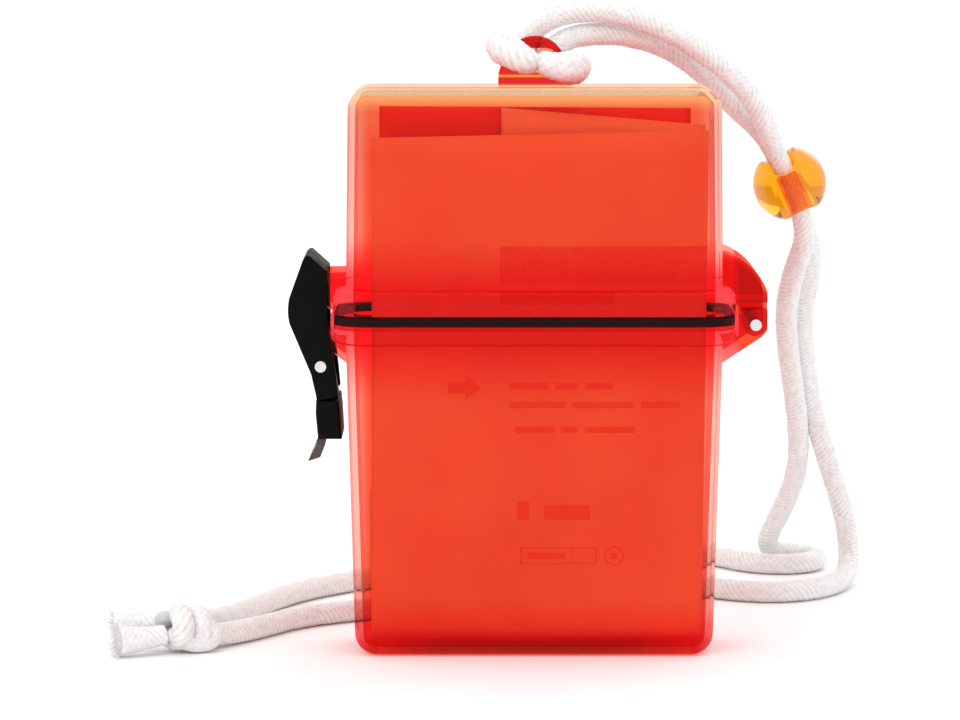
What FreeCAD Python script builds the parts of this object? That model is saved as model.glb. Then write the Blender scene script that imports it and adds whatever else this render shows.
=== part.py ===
import FreeCAD, Part
import math
import os
import Sketcher

# A clear plastic first aid case on a lanyard. +Z is up, +Y points to the back, and the origin is the
# centre of the base. Lengths are in millimetres.

Vector = FreeCAD.Vector

SIZES = {
    "wall": 1.6,
    "base_half_width": 38.0,
    "base_half_depth": 13.6,
    "shell_taper": 1.6,
    "rim_bottom": 66.8,
    "rim_top": 72.75,
    "rim_half_width": 43.0,
    "rim_half_depth": 18.6,
    "mouth_half_width": 38.25,
    "mouth_half_depth": 13.85,
    "upright_radius": 5.0,
    "rim_radius": 8.0,
    "base_radius": 5.5,
    "mouth_radius": 4.6,
    "cavity_radius": 2.6,
    "edge_rounding": 1.8,
    "seal_half_width": 41.2,
    "seal_half_depth": 16.8,
    "seal_thickness": 2.0,
    "seal_bottom": 70.05,
    "seal_top": 72.9,
    "seal_play": 0.05,
    "lid_bottom": 73.05,
    "lid_top": 120.5,
    "lid_half_width": 39.85,
    "lid_half_depth": 15.45,
    "lid_taper": 0.72,
    "flange_top": 78.5,
    "flange_half_width": 42.4,
    "flange_half_depth": 18.0,
    "flange_rounding": 2.2,
    "lid_radius": 4.6,
    "hinge_axis_x": 46.7,
    "hinge_axis_z": 70.6,
    "hinge_pin_radius": 1.2,
    "ear_inner": 8.0,
    "ear_outer": 10.5,
    "arm_inner": 5.2,
    "arm_outer": 7.7,
    "running_play": 0.05,
    "pivot_x": -46.0,
    "pivot_z": 67.5,
    "pivot_pin_radius": 1.1,
    "hook_axis_x": -45.2,
    "hook_axis_z": 61.7,
    "hook_pin_radius": 1.2,
    "lug_inner": 5.6,
    "lug_outer": 7.6,
    "lever_half": 5.4,
    "grip_half": 10.0,
    "cheek_inner": 8.0,
    "tooth_half": 5.2,
    "catch_bar_x": -45.0,
    "catch_bar_z": 78.5,
    "catch_bar_radius": 1.5,
    "eyelet_half_thickness": 2.0,
    "eyelet_x": 0.15,
    "eyelet_z": 126.0,
    "eyelet_half_height": 2.6,
    "eyelet_half_straight": 2.3,
    "cord_diameter": 4.8,
    "bead_radius": 8.0,
    "bead_hole_radius": 2.75,
    "strand_offset": 2.45,
    "bead_mouth": 0.9,
}


class Size:
    """A length or angle with its value and the spreadsheet expression that drives it."""

    def __init__(self, value, text):
        self.value = float(value)
        self.text = text

    def __add__(self, other):
        other = size(other)
        return Size(self.value + other.value, f"({self.text} + {other.text})")

    def __sub__(self, other):
        other = size(other)
        return Size(self.value - other.value, f"({self.text} - {other.text})")

    def __mul__(self, other):
        other = size(other)
        return Size(self.value * other.value, f"({self.text} * {other.text})")

    def __neg__(self):
        return Size(-self.value, f"(-1 * {self.text})")


def size(value):
    """Return a plain number as a Size, and a Size unchanged."""
    return value if isinstance(value, Size) else Size(value, repr(float(value)))


def cell(alias):
    """Return the Size of one spreadsheet cell."""
    return Size(SIZES[alias], f"Sizes.{alias}")


document = FreeCAD.newDocument("FirstAidKit")
sheet = document.addObject("Spreadsheet::Sheet", "Sizes")
for row, (alias, value) in enumerate(SIZES.items(), start=1):
    sheet.set(f"A{row}", alias)
    sheet.set(f"B{row}", str(value))
    sheet.setAlias(f"B{row}", alias)
document.recompute()

parts = {}


def bind(target, name, value):
    """Drive one property of an object by a Size."""
    target.setExpression(name, size(value).text)


def new_body(name):
    """Start the PartDesign body of one sub-part."""
    body = document.addObject("PartDesign::Body", name)
    body.Label = name
    parts[name] = body
    return body


def new_sketch(body, name, role, offset=0):
    """Attach an empty sketch to one of the body's origin planes, moved along the plane's normal."""
    sketch = body.newObject("Sketcher::SketchObject", name)
    plane = next(item for item in body.Origin.OriginFeatures if item.Role == role)
    sketch.AttachmentSupport = (plane, [""])
    sketch.MapMode = "FlatFace"
    bind(sketch, "AttachmentOffset.Base.z", offset)
    return sketch


def hold(sketch, kind, where, value, name):
    """Add a constraint to a sketch and drive it by a Size."""
    value = size(value)
    index = sketch.addConstraint(Sketcher.Constraint(kind, *where, value.value))
    sketch.renameConstraint(index, name)
    bind(sketch, f"Constraints.{name}", value)


def outline(body, name, role, corners, offset=0):
    """Draw a closed outline. A corner is (u, v), or (u, v, radius) where an arc leads on to the next one.

    A positive radius bends to the left of the way along the outline, and a negative one to the right.
    """
    sketch = new_sketch(body, name, role, offset)
    add_loop(sketch, corners)
    return sketch


def add_loop(sketch, corners):
    """Add one closed loop of lines and arcs to a sketch, with every corner held in place."""
    first = sketch.GeometryCount
    count = len(corners)
    ends = []
    for index, corner in enumerate(corners):
        following = corners[(index + 1) % count]
        start = Vector(size(corner[0]).value, size(corner[1]).value, 0)
        end = Vector(size(following[0]).value, size(following[1]).value, 0)
        if len(corner) == 2:
            sketch.addGeometry(Part.LineSegment(start, end))
            ends.append((1, 2))
            continue
        radius = size(corner[2]).value
        chord = end - start
        side = Vector(-chord.y, chord.x, 0).normalize()
        rise = math.sqrt(radius**2 - (chord.Length / 2) ** 2)
        centre = (start + end) * 0.5 + side * math.copysign(rise, radius)
        angles = [math.atan2(point.y - centre.y, point.x - centre.x) for point in (start, end)]
        turned_left = radius > 0
        if not turned_left:
            angles.reverse()
        circle = Part.Circle(centre, Vector(0, 0, 1), abs(radius))
        sketch.addGeometry(Part.ArcOfCircle(circle, angles[0], angles[1]))
        ends.append((1, 2) if turned_left else (2, 1))
    for index, corner in enumerate(corners):
        here = first + index
        following = first + (index + 1) % count
        begin, finish = ends[index]
        begin_following = ends[(index + 1) % count][0]
        sketch.addConstraint(Sketcher.Constraint("Coincident", here, finish, following, begin_following))
        hold(sketch, "DistanceX", (-1, 1, here, begin), corner[0], f"u{here}")
        hold(sketch, "DistanceY", (-1, 1, here, begin), corner[1], f"v{here}")
        if len(corner) == 3:
            radius = Size(abs(size(corner[2]).value), f"abs({size(corner[2]).text})")
            hold(sketch, "Radius", (here,), radius, f"r{here}")


def rounded(half_width, half_depth, radius):
    """Return a rectangle centred on the origin with round corners, as corners for add_loop."""
    radius = size(radius)
    inner_x = half_width - radius
    inner_y = half_depth - radius
    return [
        (-inner_x, -half_depth),
        (inner_x, -half_depth, radius),
        (half_width, -inner_y),
        (half_width, inner_y, radius),
        (inner_x, half_depth),
        (-inner_x, half_depth, radius),
        (-half_width, inner_y),
        (-half_width, -inner_y, radius),
    ]


def circle_sketch(body, name, role, centre, radius, offset=0):
    """Draw one circle, given by its centre and radius."""
    sketch = new_sketch(body, name, role, offset)
    middle = Vector(size(centre[0]).value, size(centre[1]).value, 0)
    sketch.addGeometry(Part.Circle(middle, Vector(0, 0, 1), size(radius).value))
    hold(sketch, "DistanceX", (-1, 1, 0, 3), centre[0], "u")
    hold(sketch, "DistanceY", (-1, 1, 0, 3), centre[1], "v")
    hold(sketch, "Radius", (0,), radius, "r")
    return sketch


def extrude(kind, body, sketch, length, side="One side", taper=None, flip=False):
    """Pad or pocket a sketch of a body, and return the feature."""
    feature = body.newObject(f"PartDesign::{kind}", f"{sketch.Name}{kind}")
    feature.Profile = sketch
    feature.SideType = side
    feature.Reversed = flip
    bind(feature, "Length", length)
    if taper is not None:
        bind(feature, "TaperAngle", taper)
    document.recompute()
    return feature


def pad(body, sketch, length, **options):
    """Add material from a sketch."""
    return extrude("Pad", body, sketch, length, **options)


def pocket(body, sketch, length, **options):
    """Cut material away from a sketch, and stop if nothing was cut."""
    before = body.Shape.Volume
    feature = extrude("Pocket", body, sketch, length, **options)
    if body.Shape.Volume > before - 0.01:
        raise RuntimeError(f"{feature.Name} cuts nothing")
    return feature


def plate_pair(body, name, corners, inner, outer):
    """Pad one outline in the XZ plane into two mirrored plates, between two distances from the middle."""
    thickness = outer - inner
    for side, offset in (("Front", inner), ("Back", -outer)):
        sketch = outline(body, f"{name}{side}", "XZ_Plane", corners, offset)
        pad(body, sketch, thickness)


def disc_pair(body, name, centre, radius, inner, outer):
    """Pad a round eye on both plates of a pair."""
    for side, offset in (("Front", inner), ("Back", -outer)):
        sketch = circle_sketch(body, f"{name}{side}", "XZ_Plane", centre, radius, offset)
        pad(body, sketch, outer - inner)


def through_bore(body, name, centre, radius, half_length):
    """Cut a round bore along Y through the plates of a body."""
    sketch = circle_sketch(body, name, "XZ_Plane", centre, radius)
    pocket(body, sketch, half_length * 2, side="Symmetric")


def round_edges(body, name, radius, wanted):
    """Fillet every edge of the body's last feature that a test picks."""
    base = body.Tip
    edges = [f"Edge{n}" for n, edge in enumerate(base.Shape.Edges, start=1) if wanted(edge)]
    if not edges:
        raise RuntimeError(f"{name} finds no edges")
    fillet = body.newObject("PartDesign::Fillet", name)
    fillet.Base = (base, edges)
    bind(fillet, "Radius", radius)
    document.recompute()
    return fillet


def level_test(height, least_x=0.0, least_y=0.0):
    """Return a test for the edges that lie level at a height and reach past a half size in X or Y."""
    height = size(height).value

    def wanted(edge):
        box = edge.BoundBox
        level = box.ZLength < 0.01 and abs(box.ZMax - height) < 0.02
        reach_x = max(abs(box.XMin), abs(box.XMax))
        reach_y = max(abs(box.YMin), abs(box.YMax))
        return level and (reach_x > least_x or reach_y > least_y)

    return wanted


def pin(name, centre, radius, half_length):
    """Make a straight pin along Y."""
    body = new_body(name)
    sketch = circle_sketch(body, f"{name}_section", "XZ_Plane", centre, radius)
    pad(body, sketch, half_length * 2, side="Symmetric")
    return body


def slab(name, corners, front, thickness, rounding=0.6):
    """Make a flat packet from an outline in the XZ plane, from its front face's Y backwards."""
    body = new_body(name)
    sketch = outline(body, f"{name}_outline", "XZ_Plane", corners, -size(front) - thickness)
    pad(body, sketch, thickness)
    round_edges(body, f"{name}_edges", rounding, lambda edge: edge.BoundBox.YLength < 0.01)
    return body


# ---------------------------------------------------------------- lower shell

HINGE_AXIS = (cell("hinge_axis_x"), cell("hinge_axis_z"))
PIVOT = (cell("pivot_x"), cell("pivot_z"))
HOOK_AXIS = (cell("hook_axis_x"), cell("hook_axis_z"))


def make_lower_shell():
    body = new_body("lower_shell")
    base = rounded(cell("base_half_width"), cell("base_half_depth"), cell("upright_radius"))
    pad(body, outline(body, "tub", "XY_Plane", base), cell("rim_bottom"), taper=cell("shell_taper"))
    round_edges(body, "tub_base", cell("base_radius") - 0.9, level_test(0))

    ring = rounded(cell("rim_half_width"), cell("rim_half_depth"), cell("rim_radius"))
    rim = outline(body, "rim", "XY_Plane", ring, cell("rim_bottom"))
    pad(body, rim, cell("rim_top") - cell("rim_bottom"))
    round_edges(body, "rim_lower_edge", cell("edge_rounding"), level_test(cell("rim_bottom"), 40.5, 16.8))

    opening = rounded(cell("mouth_half_width"), cell("mouth_half_depth"), cell("mouth_radius"))
    mouth = outline(body, "mouth", "XY_Plane", opening, cell("rim_top"))
    pocket(body, mouth, cell("rim_top") - cell("wall"), taper=-cell("shell_taper"))
    round_edges(body, "floor_edge", cell("cavity_radius"), level_test(cell("wall")))

    groove = new_sketch(body, "groove", "XY_Plane", cell("rim_top"))
    reach = cell("seal_thickness") * 0.5 + cell("seal_play")
    add_loop(groove, rounded(cell("seal_half_width") + reach, cell("seal_half_depth") + reach, 7.2))
    add_loop(groove, rounded(cell("seal_half_width") - reach, cell("seal_half_depth") - reach, 5.1))
    pocket(body, groove, cell("rim_top") - cell("seal_bottom") + cell("seal_play"))

    ear = [
        (39.6, 62.6), (47.8, 68.0), (49.1, 69.5), (49.1, 73.9), (44.0, 73.9), (43.2, 72.5),
        (41.9, 71.0), (39.6, 69.0),
    ]
    plate_pair(body, "hinge_ear", ear, cell("ear_inner"), cell("ear_outer"))
    through_bore(body, "hinge_bore", HINGE_AXIS, cell("hinge_pin_radius"), cell("ear_outer") + 1)
    lug = [(-39.6, 62.2), (-39.6, 69.0), (-42.0, 70.6), (-46.0, 69.9), (-46.0, 65.1), (-42.8, 64.5)]
    plate_pair(body, "latch_lug", lug, cell("lug_inner"), cell("lug_outer"))
    disc_pair(body, "latch_eye", PIVOT, 2.4, cell("lug_inner"), cell("lug_outer"))
    through_bore(body, "pivot_bore", PIVOT, cell("pivot_pin_radius"), cell("lug_outer") + 1)


def make_seal_ring():
    body = new_body("seal_ring")
    ring = new_sketch(body, "ring", "XY_Plane", cell("seal_bottom"))
    reach = cell("seal_thickness") * 0.5
    add_loop(ring, rounded(cell("seal_half_width") + reach, cell("seal_half_depth") + reach, 7.15))
    add_loop(ring, rounded(cell("seal_half_width") - reach, cell("seal_half_depth") - reach, 5.15))
    pad(body, ring, cell("seal_top") - cell("seal_bottom"))


# ---------------------------------------------------------------- lid

def make_lid_shell():
    body = new_body("lid_shell")
    foot = rounded(cell("lid_half_width"), cell("lid_half_depth"), cell("upright_radius") + 1.4)
    cap = outline(body, "cap", "XY_Plane", foot, cell("lid_bottom"))
    pad(body, cap, cell("lid_top") - cell("lid_bottom"), taper=-cell("lid_taper"))
    round_edges(body, "cap_top", cell("lid_radius"), level_test(cell("lid_top")))

    ring = rounded(cell("flange_half_width"), cell("flange_half_depth"), cell("rim_radius") - 0.6)
    flange = outline(body, "flange", "XY_Plane", ring, cell("lid_bottom"))
    pad(body, flange, cell("flange_top") - cell("lid_bottom"))
    round_edges(body, "flange_top_edge", cell("flange_rounding"), level_test(cell("flange_top"), 41.0, 17.0))

    opening = rounded(cell("mouth_half_width"), cell("mouth_half_depth"), cell("mouth_radius"))
    inside = outline(body, "inside", "XY_Plane", opening, cell("lid_bottom"))
    depth = cell("lid_top") - cell("lid_bottom") - cell("wall")
    pocket(body, inside, depth, taper=-cell("lid_taper"), flip=True)
    round_edges(body, "inside_top", cell("cavity_radius"), level_test(cell("lid_top") - cell("wall")))

    plate = [(38.9, 86.2), (38.9, 75.4), (49.1, 75.4), (49.1, 77.6, 14.0), (40.2, 86.2)]
    plate_pair(body, "hinge_plate", plate, cell("ear_inner"), cell("ear_outer"))
    arm = [
        (38.9, 84.4), (38.9, 75.0), (42.2, 75.0), (44.1, 73.4), (44.1, 70.6), (49.3, 70.6),
        (49.1, 76.6, 14.0), (40.2, 84.4),
    ]
    plate_pair(body, "hinge_arm", arm, cell("arm_inner"), cell("arm_outer"))
    disc_pair(body, "hinge_eye", HINGE_AXIS, 2.6, cell("arm_inner"), cell("arm_outer"))
    bore_radius = cell("hinge_pin_radius") + cell("running_play")
    through_bore(body, "arm_bore", HINGE_AXIS, bore_radius, cell("arm_outer") + 1)

    rib = [(-38.9, 81.5), (-45.4, 81.5), (-46.5, 80.4), (-46.5, 76.6), (-43.2, 73.6), (-38.9, 73.6)]
    plate_pair(body, "catch_rib", rib, cell("lug_inner"), cell("lug_outer"))
    catch = circle_sketch(body, "catch_bar", "XZ_Plane", (cell("catch_bar_x"), cell("catch_bar_z")),
                          cell("catch_bar_radius"))
    pad(body, catch, cell("lug_outer") * 2, side="Symmetric")

    tab = [
        (-7.7, 119.6), (8.0, 119.6), (7.9, 123.0, 13.0), (4.6, 129.4, 6.6), (-4.3, 129.4, 13.0),
        (-7.6, 123.0),
    ]
    half_thickness = cell("eyelet_half_thickness")
    pad(body, outline(body, "eyelet_tab", "XZ_Plane", tab), half_thickness * 2, side="Symmetric")

    def on_tab_face(edge):
        middle = edge.CenterOfMass
        return middle.z > 121.5 and abs(abs(middle.y) - half_thickness.value) < 0.05

    round_edges(body, "eyelet_edges", 0.9, on_tab_face)
    left = cell("eyelet_x") - cell("eyelet_half_straight")
    right = cell("eyelet_x") + cell("eyelet_half_straight")
    low = cell("eyelet_z") - cell("eyelet_half_height")
    high = cell("eyelet_z") + cell("eyelet_half_height")
    bend = cell("eyelet_half_height") * 1.0001
    oval = [(left, low), (right, low, bend), (right, high), (left, high, bend)]
    hole = outline(body, "eyelet_hole", "XZ_Plane", oval)
    pocket(body, hole, half_thickness * 2 + 2, side="Symmetric")


# ---------------------------------------------------------------- latch

def make_latch_lever():
    body = new_body("latch_lever")
    arm = [(-48.2, 67.5), (-47.4, 61.5), (-46.2, 54.0), (-41.6, 54.0), (-42.9, 61.5), (-43.7, 67.5)]
    pad(body, outline(body, "lever_arm", "XZ_Plane", arm), cell("lever_half") * 2, side="Symmetric")
    boss = circle_sketch(body, "lever_boss", "XZ_Plane", PIVOT, 2.4)
    pad(body, boss, cell("lever_half") * 2, side="Symmetric")
    collar = circle_sketch(body, "hook_collar", "XZ_Plane", HOOK_AXIS, 2.2)
    pad(body, collar, cell("cheek_inner") * 2 - 0.5, side="Symmetric")
    grip = [(-46.2, 54.3), (-46.3, 51.7), (-45.8, 46.2), (-40.8, 46.2), (-41.1, 51.7), (-41.4, 54.3)]
    pad(body, outline(body, "grip", "XZ_Plane", grip), cell("grip_half") * 2, side="Symmetric")

    def grip_corner(edge):
        return edge.CenterOfMass.z < 54.2 and abs(edge.CenterOfMass.y) > 9.9

    round_edges(body, "grip_edges", 0.9, grip_corner)
    play = cell("running_play")
    through_bore(body, "lever_pivot_bore", PIVOT, cell("pivot_pin_radius") + play, cell("grip_half"))
    through_bore(body, "lever_hook_bore", HOOK_AXIS, cell("hook_pin_radius") + play, cell("grip_half"))


def make_finger_tab():
    body = new_body("finger_tab")
    strip = [(-46.0, 46.2), (-46.4, 44.6), (-48.0, 41.2), (-45.4, 42.1), (-44.4, 44.6), (-44.1, 46.2)]
    pad(body, outline(body, "strip", "XZ_Plane", strip), 15.0, side="Symmetric")


def make_latch_hook():
    body = new_body("latch_hook")
    cheek = [
        (-47.7, 85.4), (-48.7, 84.7), (-51.7, 76.4, 12.0), (-51.7, 70.8), (-47.2, 60.1), (-46.0, 54.75, 7.0),
        (-41.6, 55.7), (-42.3, 62.9), (-43.5, 68.0), (-43.8, 74.3), (-43.8, 81.9),
    ]
    web = [
        (-47.7, 85.4), (-48.7, 84.7), (-51.7, 76.4, 12.0), (-51.7, 70.8), (-49.9, 71.0, -10.0), (-49.9, 76.2),
        (-48.2, 81.9), (-43.8, 81.9),
    ]
    pad(body, outline(body, "web", "XZ_Plane", web), cell("cheek_inner") * 2, side="Symmetric")
    plate_pair(body, "cheek", cheek, cell("cheek_inner"), cell("grip_half"))
    tooth = [(-50.2, 79.2), (-48.0, 80.15), (-43.9, 80.15), (-43.9, 82.3), (-49.4, 82.3)]
    pad(body, outline(body, "tooth", "XZ_Plane", tooth), cell("tooth_half") * 2, side="Symmetric")
    through_bore(body, "cheek_bore", HOOK_AXIS, cell("hook_pin_radius"), cell("grip_half") + 1)


# ---------------------------------------------------------------- contents

def make_contents():
    compress = [(-34.6, 4.2), (35.6, 4.2), (36.6, 111.6), (-32.6, 110.0), (-34.6, 108.0)]
    slab("compress_packet", compress, -11.0, 3.6)
    dressing = [(-7.0, 40.0), (35.8, 40.0), (36.0, 112.6), (-7.0, 116.2)]
    slab("dressing_packet", dressing, -7.2, 1.8, 0.4)
    bandage = [(-32.6, 6.0), (33.2, 6.0), (33.0, 116.0), (-32.8, 116.4)]
    slab("bandage_packet", bandage, -5.2, 3.4)
    plaster = [(-35.0, 14.6), (35.0, 14.6), (35.0, 33.6), (-35.0, 33.6)]
    for index in range(4):
        slab(f"plaster_strip_{index + 1}", plaster, -1.5 + 1.1 * index, 0.9, 0.2)
    wipe = [(-32.0, 14.6), (26.0, 14.6), (26.0, 34.2), (-32.0, 34.2)]
    for index in range(2):
        slab(f"wipe_sachet_{index + 1}", wipe, 3.1 + 2.4 * index, 2.1, 0.4)
    leaflet = [(-30.0, 14.6), (31.0, 14.6), (31.0, 34.6), (-30.0, 34.6)]
    slab("leaflet", leaflet, 8.1, 1.6, 0.3)

    roll = new_body("bandage_roll")
    pad(roll, circle_sketch(roll, "roll_section", "YZ_Plane", (5.0, 8.1), 6.2), 54.0, side="Symmetric")
    round_edges(roll, "roll_ends", 0.8, lambda edge: edge.BoundBox.XLength < 0.01)


# ---------------------------------------------------------------- cord

CORD_DIAMETER = SIZES["cord_diameter"]
BEAD_CENTRE = Vector(56.0, 23.9, 98.0)
BEAD_AXIS = Vector(0.401, 0.282, -0.871).normalize()
BEAD_ACROSS = (Vector(0, 1, 0) - BEAD_AXIS * BEAD_AXIS.y).normalize()
BEAD_RUN = 10.8


def bead_ends(side):
    """Return the two route points that lead one strand straight through the bead."""
    middle = BEAD_CENTRE + BEAD_ACROSS * (side * SIZES["strand_offset"])
    return [middle - BEAD_AXIS * BEAD_RUN, middle + BEAD_AXIS * BEAD_RUN]


FRONT_ROUTE = [
    *(Vector(*point) for point in (
        (-2.4, 4.5, 127.0), (-1.2, 5.7, 131.5), (4.0, 6.6, 135.2), (12.5, 8.0, 136.5), (22.5, 9.3, 134.6),
        (33.0, 11.2, 129.5), (42.0, 13.4, 123.0), (48.4, 15.8, 115.8),
    )),
    *bead_ends(-1),
    *(Vector(*point) for point in (
        (57.0, 33.0, 76.0), (56.8, 44.5, 66.5), (58.7, 57.0, 55.0), (61.8, 70.5, 40.5), (63.0, 84.5, 26.5),
        (60.3, 95.0, 16.0), (57.5, 101.4, 9.2), (57.2, 106.8, 4.6), (61.2, 110.6, 2.9), (66.8, 109.8, 2.42),
        (69.6, 105.0, 2.42), (68.2, 99.4, 2.42), (63.4, 95.6, 2.42), (57.2, 95.2, 2.42), (51.6, 98.8, 2.42),
        (46.0, 106.5, 2.42), (38.0, 114.5, 2.42), (25.0, 118.5, 2.42), (7.0, 115.5, 2.42),
        (-14.0, 101.0, 2.42), (-31.0, 81.5, 2.42), (-43.0, 69.0, 2.42), (-52.0, 58.5, 2.42),
        (-58.5, 44.5, 2.42), (-64.5, 28.5, 2.5),
        (-69.5, 15.0, 3.2), (-71.8, 6.0, 4.6), (-72.6, -0.5, 5.6),
    )),
]
BACK_ROUTE = [
    *(Vector(*point) for point in (
        (2.6, 4.5, 126.5), (5.2, 6.3, 129.6), (11.0, 9.4, 131.2), (19.5, 13.0, 131.0), (28.5, 16.4, 128.4),
        (37.0, 19.3, 122.5), (43.0, 21.3, 115.8),
    )),
    *bead_ends(1),
    *(Vector(*point) for point in (
        (62.2, 37.5, 79.0), (61.0, 50.0, 68.0), (62.3, 63.0, 55.3), (65.6, 74.0, 41.0), (69.9, 81.0, 28.0),
        (73.3, 85.6, 18.0), (75.0, 86.8, 10.0), (75.0, 83.0, 4.4), (73.3, 75.6, 2.42), (69.8, 66.0, 2.42),
        (63.5, 58.2, 2.42), (54.8, 55.0, 2.42), (45.5, 58.5, 2.42), (35.0, 67.5, 2.42), (18.0, 73.5, 2.42),
        (-3.0, 66.5, 2.42), (-20.0, 50.5, 2.42), (-32.0, 36.5, 2.42), (-42.5, 29.5, 2.42),
        (-52.0, 22.5, 2.42),
        (-59.0, 10.5, 2.42), (-65.0, 1.5, 2.6), (-69.3, -3.3, 3.2), (-72.4, -6.1, 3.8),
    )),
]


def route_wire(route):
    """Join straight runs by tangent arcs, each as large as its two runs allow. Return wire and radii."""
    edges = []
    radii = []
    reached = route[0]
    for before, corner, after in zip(route, route[1:], route[2:]):
        back = before - corner
        ahead = after - corner
        turn = math.pi - back.getAngle(ahead)
        reach = 0.45 * min(back.Length, ahead.Length)
        radii.append(reach / math.tan(turn / 2))
        back.normalize()
        ahead.normalize()
        start = corner + back * reach
        end = corner + ahead * reach
        bisector = (back + ahead).normalize()
        depth = radii[-1] / math.cos(turn / 2) - radii[-1]
        edges.append(Part.LineSegment(reached, start).toShape())
        edges.append(Part.Arc(start, corner + bisector * depth, end).toShape())
        reached = end
    edges.append(Part.LineSegment(reached, route[-1]).toShape())
    return Part.Wire(edges), radii


def make_strand(name, route):
    """Sweep a round section along a route, and compare the tube's volume with section times length."""
    wire, radii = route_wire(route)
    spine = document.addObject("Part::Feature", f"{name}_route")
    spine.Shape = wire
    section = document.addObject("Part::Circle", f"{name}_section")
    bind(section, "Radius", cell("cord_diameter") * 0.5)
    turned = FreeCAD.Rotation(Vector(0, 0, 1), route[1] - route[0])
    section.Placement = FreeCAD.Placement(route[0], turned)
    tube = document.addObject("Part::Sweep", name)
    tube.Label = name
    tube.Sections = [section]
    tube.Spine = (spine, [])
    tube.Solid = True
    tube.Frenet = False
    document.recompute()
    parts[name] = tube
    expected = math.pi * (CORD_DIAMETER / 2) ** 2 * wire.Length
    print(f"{name}: {wire.Length:.0f} mm long, arc radii {', '.join(f'{radius:.0f}' for radius in radii)}")
    print(f"{name}: volume {tube.Shape.Volume:.0f}, section times length {expected:.0f}")


def make_bead():
    """Make the bead about its own Z axis, then stand it on the cord."""
    body = new_body("cord_bead")
    ball = new_sketch(body, "ball", "XZ_Plane")
    radius = cell("bead_radius")
    middle = Vector(0, 0, 0)
    arc = Part.ArcOfCircle(Part.Circle(middle, Vector(0, 0, 1), radius.value), -math.pi / 2, math.pi / 2)
    ball.addGeometry(arc)
    ball.addGeometry(Part.LineSegment(Vector(0, radius.value, 0), Vector(0, -radius.value, 0)))
    ball.addConstraint(Sketcher.Constraint("Coincident", 0, 3, -1, 1))
    ball.addConstraint(Sketcher.Constraint("Coincident", 0, 2, 1, 1))
    ball.addConstraint(Sketcher.Constraint("Coincident", 0, 1, 1, 2))
    ball.addConstraint(Sketcher.Constraint("PointOnObject", 0, 1, -2))
    ball.addConstraint(Sketcher.Constraint("PointOnObject", 0, 2, -2))
    hold(ball, "Radius", (0,), radius, "r")
    turned = body.newObject("PartDesign::Revolution", "ball_turned")
    turned.Profile = ball
    turned.ReferenceAxis = (ball, ["V_Axis"])
    turned.Angle = 360
    document.recompute()
    hole_radius = cell("bead_hole_radius")
    offset = cell("strand_offset")
    bend = hole_radius * 1.0001
    slot = [
        (-hole_radius, -offset, bend), (hole_radius, -offset),
        (hole_radius, offset, bend), (-hole_radius, offset),
    ]
    hole = outline(body, "bead_hole", "XY_Plane", slot)
    pocket(body, hole, radius * 2 + 2, side="Symmetric")

    def mouth(edge):
        return abs(edge.CenterOfMass.z) > 5 and edge.BoundBox.ZLength < 3

    round_edges(body, "bead_mouths", cell("bead_mouth"), mouth)
    across = BEAD_ACROSS
    side = across.cross(BEAD_AXIS)
    turn = FreeCAD.Rotation(side, across, BEAD_AXIS, "ZYX")
    body.Placement = FreeCAD.Placement(BEAD_CENTRE, turn)


def make_block(name, length, width, height, rounding, placement, cutter=None):
    """Make a block with every edge round, placed by its centre, less an optional cutter."""
    box = document.addObject("Part::Box", f"{name}_block")
    for prop, value in (("Length", length), ("Width", width), ("Height", height)):
        bind(box, prop, value)
    to_middle = Vector(-length / 2, -width / 2, -height / 2)
    box.Placement = placement.multiply(FreeCAD.Placement(to_middle, FreeCAD.Rotation()))
    document.recompute()
    soft = document.addObject("Part::Fillet", f"{name}_round")
    soft.Base = box
    soft.Edges = [(n + 1, rounding, rounding) for n in range(len(box.Shape.Edges))]
    document.recompute()
    if cutter is None:
        return soft
    cut = document.addObject("Part::Cut", f"{name}_cut")
    cut.Base = soft
    cut.Tool = cutter
    document.recompute()
    return cut


def along_y(angle):
    """Return a turn about the Y axis, in degrees."""
    return FreeCAD.Rotation(Vector(0, 1, 0), angle)


def make_hitch():
    """Make the outer shape of the hitch: two lobes that straddle the eyelet tab, and the bight behind."""
    tab = document.addObject("Part::Box", "hitch_tab_space")
    bind(tab, "Length", 13.4)
    bind(tab, "Width", cell("eyelet_half_thickness") * 2 + 0.1)
    bind(tab, "Height", 14)
    tab_corner = Vector(-6.1, -SIZES["eyelet_half_thickness"] - 0.05, 116)
    tab.Placement = FreeCAD.Placement(tab_corner, FreeCAD.Rotation())
    reach = 2 * (SIZES["eyelet_half_thickness"] + CORD_DIAMETER)
    left_place = FreeCAD.Placement(Vector(-3.9, 0, 128.4), along_y(18))
    right_place = FreeCAD.Placement(Vector(5.2, 0, 126.0), along_y(9))
    bight_place = FreeCAD.Placement(Vector(0.8, 8.6, 127.4), along_y(12))
    left = make_block("hitch_left", 9.0, reach, 6.2, 2.6, left_place, tab)
    right = make_block("hitch_right", 10.4, reach, 6.2, 2.6, right_place, tab)
    bight = make_block("hitch_bight", 12.6, 4.8, 6.0, 2.3, bight_place)
    fused = document.addObject("Part::MultiFuse", "cord_hitch")
    fused.Label = "cord_hitch"
    fused.Shapes = [left, right, bight]
    document.recompute()
    parts["cord_hitch"] = fused


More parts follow.
